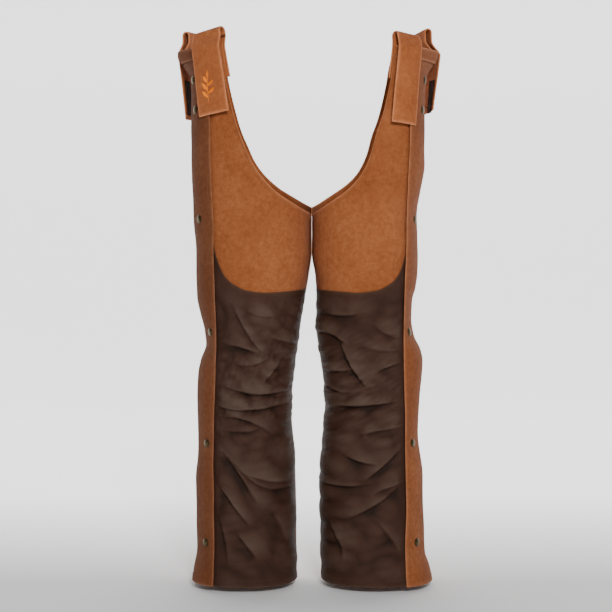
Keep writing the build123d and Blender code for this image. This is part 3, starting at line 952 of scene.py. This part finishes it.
# A strap's outer half keeps this share of the unevenness below it, stands this much further out, and a rear one
# hangs away from the leg by this much at its end. No strap comes closer to the leg's axis than the last.
UNEVEN, STAND, HANG_AWAY, CLOSEST = 0.55, 1.5, 9.0, 40.0


def strap_bearing(where):
    """A strap faces square to the hinge at its fold."""
    axis = JOINTS[f"left_{where}_strap_lift"]["axis"]
    return math.degrees(math.atan2(-axis[1], -axis[0]))


def reach(side, bearing, v, height, offset, with_folds=True):
    """How far out along a strap's bearing the leg's surface is, v across from it."""
    u = np.full(np.broadcast(v, height).shape, ROUND)
    level = np.minimum(height, PANEL_TOP)
    for _ in range(10):
        phi = bearing + np.degrees(np.arctan2(v, u))
        plain = section(side, phi, level)
        r = plain + (offset + canvas_folds(side, phi, level, plain) if with_folds else offset)
        u = np.sqrt(np.maximum(r * r - v * v, CLOSEST**2))
    return u


def strap_grid(side, where):
    """The outside of a strap, up, over its fold and down inside, with each row's drop and facing."""
    strap, bearing = STRAPS[side, where], strap_bearing(where)
    radius, top, lean = strap["radius"], strap["top"], math.radians(strap["lean"])
    hang = spread(-strap["hang"], -radius, 3.2, 4.0)
    arc = np.linspace(0, math.pi, 17)[1:-1]
    down = spread(-radius, SEWN_TO - top, 3.2, 4.0)
    h = np.concatenate([hang, -radius + radius * np.sin(arc), down])
    outward = np.concatenate([np.ones(len(hang)), np.cos(arc), -np.ones(len(down))])
    v = spread(-strap["wide"] / 2, strap["wide"] / 2, 2.4, 2.6)
    across = strap["across"] + v[None, :] * math.cos(lean) + h[:, None] * math.sin(lean)
    height = top - v[None, :] * math.sin(lean) + h[:, None] * math.cos(lean)
    stand = {"front": FRONT_LIE, "rear": REAR_LIE}[where] + STRAP_THICK
    out = reach(side, bearing, across, height, stand, with_folds=where == "rear")
    ins = reach(side, bearing, across, height, INSIDE_LIE - STRAP_THICK)
    middle = np.median(out, axis=1, keepdims=True)
    out = middle + (out - middle) * UNEVEN + STAND
    if where == "rear":
        brim = nearest(h[: len(hang)], PANEL_TOP - 10 - top)
        share = np.clip((h[:, None] - h[0]) / (h[brim] - h[0]), 0, 1)
        out = np.maximum(out, (out[:1] + HANG_AWAY) * (1 - share) + out[brim:brim + 1] * share)
    outward = outward[:, None]
    flat = strap["fold"] + radius * outward
    hug = 1 - rise(height, PANEL_TOP - 2, PANEL_TOP + 24)
    lie = np.where(outward > 0, out, ins)
    u = flat + (lie - flat) * hug * (np.abs(outward) > 0.999)
    u = u + 0.8 * ripple(across / 16, height / 30, 81 + SIDES[side]) * (outward > 0)
    return strap_place(bearing, u, across, height), h, outward[:, 0]


def strap_place(bearing, u, across, height):
    b = math.radians(bearing)
    x = LEG_X + u * math.sin(b) + across * math.cos(b)
    y = LEG_Y - u * math.cos(b) + across * math.sin(b)
    return np.stack(np.broadcast_arrays(x, y, height), axis=-1).astype(float)


def belt_strap(side, where):
    """The strap in two halves that meet on top of the fold: one sewn inside the leg, and the outer one, which
    hangs free.
    """
    grid, h, outward = strap_grid(side, where)
    low, left_edge, right_edge = (edge_distance(grid, e) for e in ("low", "first", "last"))
    side_seam, end_seam, box_seam = 5.5, 6.0, 15.5
    seams = [np.abs(left_edge - side_seam), np.abs(right_edge - side_seam), np.abs(low - end_seam)]
    side_round = 0.7 * np.exp(-np.minimum(left_edge, right_edge) / 1.3)
    groove = 0.45 * bump(np.minimum.reduce(seams), 0, 1.1) + 0.45 * bump(low, box_seam, 1.2) + side_round
    outer = grid - grid_normals(grid) * groove[..., None]
    apex = nearest(outward, 0)
    tucked = (outer - grid_normals(outer) * 0.15)[apex:]
    name, canvas = f"{where}_strap", STRAP_CANVAS[side]
    sewn = cut_cloth(side, f"{name}_sewn_half", tucked, STRAP_THICK - 0.3, canvas, ("first", "last"),
                     f"{where}_sewn_strap", "leg")
    hanging = cut_cloth(side, f"{name}_hanging_half", outer[: apex + 2], STRAP_THICK, canvas,
                        ("low", "first", "last"), f"{where}_strap_flap")
    row, col = len(h) // 4, 12
    first, last = (nearest(edge[row], side_seam) for edge in (left_edge, right_edge))
    rows = [along_grid(outer[: apex - 6], col=edge) for edge in (first, last)]
    for inset in (end_seam, box_seam):
        path, normals = along_grid(outer, row=nearest(low[:, col], inset))
        rows.append((path[first:last + 1], normals[first:last + 1]))
    stitches = sew(side, name, rows)
    b, lean = math.radians(strap_bearing(where)), math.radians(STRAPS[side, where]["lean"])
    out = np.array([math.sin(b), -math.cos(b), 0.0])
    down = -np.array([math.cos(b) * math.sin(lean), math.sin(b) * math.sin(lean), math.cos(lean)])
    mirror = np.array([SIDES[side], 1, 1])
    start = outer[apex, outer.shape[1] // 2]
    end = start + (out + down) / math.sqrt(2) * TURN_OVER
    start, end = (tuple(point * mirror * MM) for point in (start, end))
    for part in (hanging, stitches):
        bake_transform(part)
    return outer[: apex + 1], h[: apex + 1]


TAPE_LOW, TAPE_HIGH = (in_mm(c)[2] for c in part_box("left_front_hook_tape"))
TAPE_FROM, TAPE_TO = -17.0, 3.0


def closing_tapes(side, where, outer):
    """Hook tape on the back of the strap's outer half, and loop tape on the leg behind it."""
    strap, bearing = STRAPS[side, where], strap_bearing(where)
    height = spread(TAPE_LOW, TAPE_HIGH, 3.0, 3.0)[:, None]
    v = spread(TAPE_FROM, TAPE_TO, 2.2, 2.0)[None, :]
    across = strap["across"] + v - (strap["top"] - height) * math.tan(math.radians(strap["lean"]))
    half = outer.reshape(-1, 3)
    b = math.radians(bearing)
    along = (half[:, 0] - LEG_X) * math.cos(b) + (half[:, 1] - LEG_Y) * math.sin(b)
    depth = (half[:, 0] - LEG_X) * math.sin(b) - (half[:, 1] - LEG_Y) * math.cos(b)
    away = (along - across[..., None]) ** 2 + (half[:, 2] - height[..., None]) ** 2
    back = strap_place(bearing, depth[np.argmin(away, axis=-1)] - STRAP_THICK - 0.1, across, height)
    cut_cloth(side, f"{where}_hook_pad", back, 1.5, HOOK_TAPE, (), f"{where}_hook_tape", f"{where}_closure")
    front = strap_place(bearing, reach(side, bearing, across, height, CANVAS + 2.2), across, height)
    cut_cloth(side, f"{where}_loop_pad", front, 1.9, LOOP_TAPE, (), f"{where}_loop_tape", "leg")


# The band round the top edge: where it starts on each leg, where it ends, and how far in its stitches are.
BAND_FROM, BAND_TO, BAND_SEAM = {"left": 19.5, "right": 27.5}, 152.0, 4.4


def top_band(side):
    """The doubled band round the top edge, above the side flap."""
    heights = spread(943.0, PANEL_TOP + 1.6, 2.2, 1.6)
    bearing, height = np.meshgrid(spread(BAND_FROM[side], BAND_TO, 2.0, 1.0), heights)
    stand = 4.0 + 2.8 * rise(bearing, 37, 45) - 2.4 * rise(bearing, 84, 97)
    edge = np.minimum(height - heights[0], heights[-1] - height)
    outer = leg_surface(side, bearing, height, stand - 0.4 * bump(edge, BAND_SEAM, 1.1))
    piece = cut_cloth(side, "top_band", outer, stand - 3.3, SHADED_FLAP_CANVAS[side], ("high", "low"), body="leg")
    seams = (heights[0] + BAND_SEAM, heights[-1] - BAND_SEAM)
    sew(side, "top_band", [along_grid(outer, row=nearest(heights, z)) for z in seams], "leg")


# The sprig, in satin stitch: a bent stem, with leaves as (along the stem, side, length, lean).
SPRIG_TALL, SPRIG_MIDDLE, STEM_SHARE, LEAF_WIDE, THREAD_PITCH = 49.0, 889.0, 0.86, 3.6, 0.62
LEAVES = [(0.18, 1, 17, 50), (0.34, -1, 17, 52), (0.50, 1, 17, 46), (0.66, -1, 16, 48), (0.82, 1, 14, 42),
          (1.0, 0, 14, 0)]
# A satin thread, as (along its length, width, height), each a share.
SATIN = [(-1.0, 0.3, -0.2), (-0.75, 0.9, 0.6), (0.0, 1.0, 1.0), (0.75, 0.9, 0.6), (1.0, 0.3, -0.2)]


def stem_at(t):
    """A point of the stem, in the plane of the strap."""
    return np.array([3.2 * math.sin(2.2 * t), SPRIG_TALL * (t - 0.5)])


def satin_leaf(a, b):
    """Slanting threads that fill a leaf from a to b."""
    run = b - a
    long = np.linalg.norm(run)
    beside = np.array([-run[1], run[0]]) / long
    threads = []
    for t in np.arange(0.0, 1.0001, THREAD_PITCH / long):
        half = LEAF_WIDE * math.sin(math.pi * min(max(t, 0.04), 0.97)) ** 0.75
        centre, slant = a + run * t, run / long * half * 0.35
        threads.append((centre - beside * half - slant, centre + beside * half + slant))
    return threads


def satin_stem(a, b):
    """Threads across one straight bit of the stem."""
    long = np.linalg.norm(b - a)
    run = (b - a) / long
    beside = np.array([-run[1], run[0]]) * 1.35
    middles = [a + (b - a) * t for t in np.arange(0, 1, THREAD_PITCH / long)]
    return [(middle - beside - run * 0.4, middle + beside + run * 0.4) for middle in middles]


def sprig(outer, h):
    """An embroidered sprig of plain leaves on the right front strap."""
    rows = np.flatnonzero(h < -STRAPS["right", "front"]["radius"] - 4)
    middle = outer[rows][:, outer.shape[1] // 2]
    normals = grid_normals(outer)[rows][:, outer.shape[1] // 2]
    at = point_at(SPRIG_MIDDLE, middle[:, 2], middle)
    out = unit(point_at(SPRIG_MIDDLE, middle[:, 2], normals))
    up = unit(np.array([0.0, 0.0, 1.0]) - out * out[2])
    right = np.cross(up, out)
    threads = []
    stem = [stem_at(t) for t in np.linspace(0, STEM_SHARE, 15)]
    for a, b in zip(stem[:-1], stem[1:]):
        threads += satin_stem(a, b)
    for share, hand, long, lean in LEAVES:
        root, angle = stem_at(share * STEM_SHARE), math.radians(90 - hand * lean)
        threads += satin_leaf(root, root + np.array([math.cos(angle), math.sin(angle)]) * long)
    vertices, faces = [], []
    for ends in threads:
        a, b = (at + right * p[0] + up * p[1] for p in ends)
        ahead, centre, half = unit(b - a), (a + b) / 2, np.linalg.norm(b - a) / 2
        beside = np.cross(out, ahead)
        start = len(vertices)
        for along, wide, high in SATIN:
            base = centre + ahead * along * half
            wing, sunk = beside * 0.36 * wide, out * 0.25
            vertices += [base - wing - sunk, base + out * 0.75 * high, base + wing - sunk]
        for ring in range(len(SATIN) - 1):
            for k in range(3):
                p, q = start + ring * 3 + k, start + ring * 3 + (k + 1) % 3
                faces.append((p, p + 3, q + 3, q))
        faces += [(start, start + 1, start + 2), (start + 14, start + 13, start + 12)]
    piece = dress(new_object("right_sprig_embroidery", "right", vertices, faces), ORANGE_THREAD)
    declare(piece, "right_front_closure", "right_embroidered_sprig")


# ---------------------------------------------------------------- build

for side in SIDES:
    front_canvas(side)
    back_canvas(side)
    nylon_facing(side)
    side_flap(side)
    press_studs(side)
    top_band(side)
    for where in ("front", "rear"):
        strap_outer, strap_rows = belt_strap(side, where)
        closing_tapes(side, where, strap_outer)
        if (side, where) == ("right", "front"):
            sprig(strap_outer, strap_rows)


# ---------------------------------------------------------------- stage

WALL_GLOW, WORLD_GLOW = 1.5, 0.20


def backdrop():
    """A pale floor that sweeps up into a pale wall, with the wall lit from within so that it stays even."""
    wide, near, bend, radius, low, high = 9.0, -6.0, 2.6, 1.6, -0.012, 7.0
    turns = np.linspace(0, math.pi / 2, 17)
    turn = [(bend + radius * math.sin(a), low + radius * (1 - math.cos(a))) for a in turns]
    line = [(near, low), *turn, (bend + radius, high)]
    vertices = [(x, y, z) for y, z in line for x in (-wide, wide)]
    faces = [(2 * i, 2 * i + 1, 2 * i + 3, 2 * i + 2) for i in range(len(line) - 1)]
    mesh = bpy.data.meshes.new("backdrop")
    mesh.from_pydata(vertices, [], faces)
    mesh.polygons.foreach_set("use_smooth", [True] * len(faces))
    n = Nodes("pale_sweep")
    split = n.tree.nodes.new("ShaderNodeSeparateXYZ")
    n.link(n.place(), split.inputs[0])
    glow = n.ramp(split.outputs[1], (0.0, (0.0, 0.0, 0.0)), (1.0, (1.0, 1.0, 1.0)))
    n.link(glow, n.shader.inputs["Emission Color"])
    speckle = n.noise(n.place(), 3.0, 2.0, 0.5)
    n.finish(n.mix(speckle, (0.92, 0.92, 0.92), (0.90, 0.90, 0.90)), 0.9, None, Emission_Strength=WALL_GLOW)
    dress(add("backdrop", mesh), n.material)


def area_light(name, where, size, power):
    """A soft rectangular light, turned to the middle of the part."""
    data = bpy.data.lights.new(name, "AREA")
    data.shape, data.energy = "RECTANGLE", power
    data.size, data.size_y = size
    light = add(name, data)
    light.location = where
    x, y, z = np.array([0.0, 0.0, 0.5]) - np.array(where)
    yaw = math.atan2(y, x)
    pitch = math.atan2(z, math.hypot(x, y))
    light.rotation_euler = (math.pi / 2 + pitch, 0.0, yaw - math.pi / 2)


def studio():
    backdrop()
    world = bpy.data.worlds.new("studio")
    world.use_nodes = True
    background = world.node_tree.nodes["Background"]
    background.inputs["Color"].default_value = (1.0, 1.0, 1.0, 1.0)
    background.inputs["Strength"].default_value = WORLD_GLOW
    bpy.context.scene.world = world
    area_light("key", (0.45, -3.3, 1.75), (0.55, 0.55), 94.0)
    area_light("top", (0.1, 0.2, 2.9), (1.4, 1.0), 5.0)


CAMERA_DISTANCE, CAMERA_HEIGHT, VIEW_WIDTH = 2.7, 0.585, 1.126
AIM = (-0.010, 0.0, 0.500)


def camera():
    data = bpy.data.cameras.new("camera")
    data.sensor_width = 36.0
    data.lens = data.sensor_width * CAMERA_DISTANCE / VIEW_WIDTH
    data.clip_start, data.clip_end = 0.05, 60.0
    obj = add("camera", data)
    obj.location = (AIM[0], -CAMERA_DISTANCE, CAMERA_HEIGHT)
    tilt = math.atan2(CAMERA_HEIGHT - AIM[2], CAMERA_DISTANCE)
    obj.rotation_euler = (math.pi / 2 - tilt, 0.0, 0.0)
    bpy.context.scene.camera = obj


studio()
camera()
